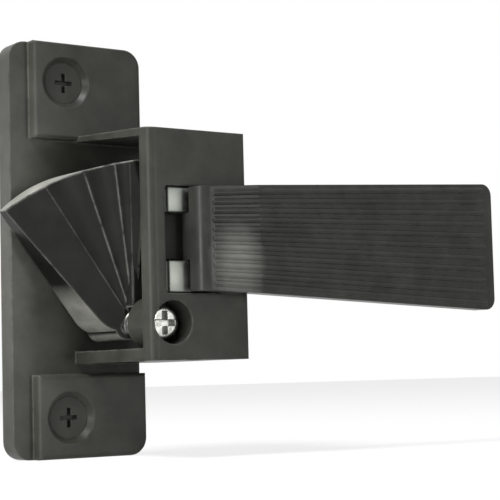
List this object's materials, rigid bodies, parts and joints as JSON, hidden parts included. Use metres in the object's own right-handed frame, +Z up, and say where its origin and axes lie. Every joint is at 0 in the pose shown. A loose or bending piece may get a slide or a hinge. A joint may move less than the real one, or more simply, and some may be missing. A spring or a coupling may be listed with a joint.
{
  "type": "lever latch for a pushbutton door handle",
  "caption": "Surface-mounted inside latch of a screen or storm door, with a swinging fluted tongue and a ribbed pull lever.",
  "frame": {"origin": "middle of the plate's back face, which lies on the door", "axes": "+Z up, +X towards the lever's free end, +Y into the door"},
  "size_m": [0.0665, 0.0359, 0.0552],
  "materials": {
    "case_paint": "satin",
    "tongue_paint": "satin",
    "lever_paint": "satin",
    "bright_steel": "bright",
    "spring_steel": "satin",
    "screw_paint": "satin"
  },
  "bodies": {
    "case": {"latch_case": "case_paint", "pivot_screw": "bright_steel", "lever_pin": "bright_steel", "return_spring": "spring_steel", "fixing_screws": "screw_paint"},
    "lever": {"lever": "lever_paint"},
    "tongue": {"tongue": "tongue_paint"}
  },
  "joints": [
    {"name": "lever_swing", "type": "hinge", "parent": "case", "child": "lever", "pos_m": [0.008, -0.0187, 0], "axis": [0, 0, -1], "range_deg": [0, 25]},
    {"name": "tongue_swing", "type": "hinge", "parent": "case", "child": "tongue", "pos_m": [0.0031, -0.011, -0.01044], "axis": [0, 1, 0], "range_deg": [0, 21.25]}
  ],
  "couplings": [
    {"joint": "tongue_swing", "follows": "lever_swing", "ratio": 0.85}
  ]
}
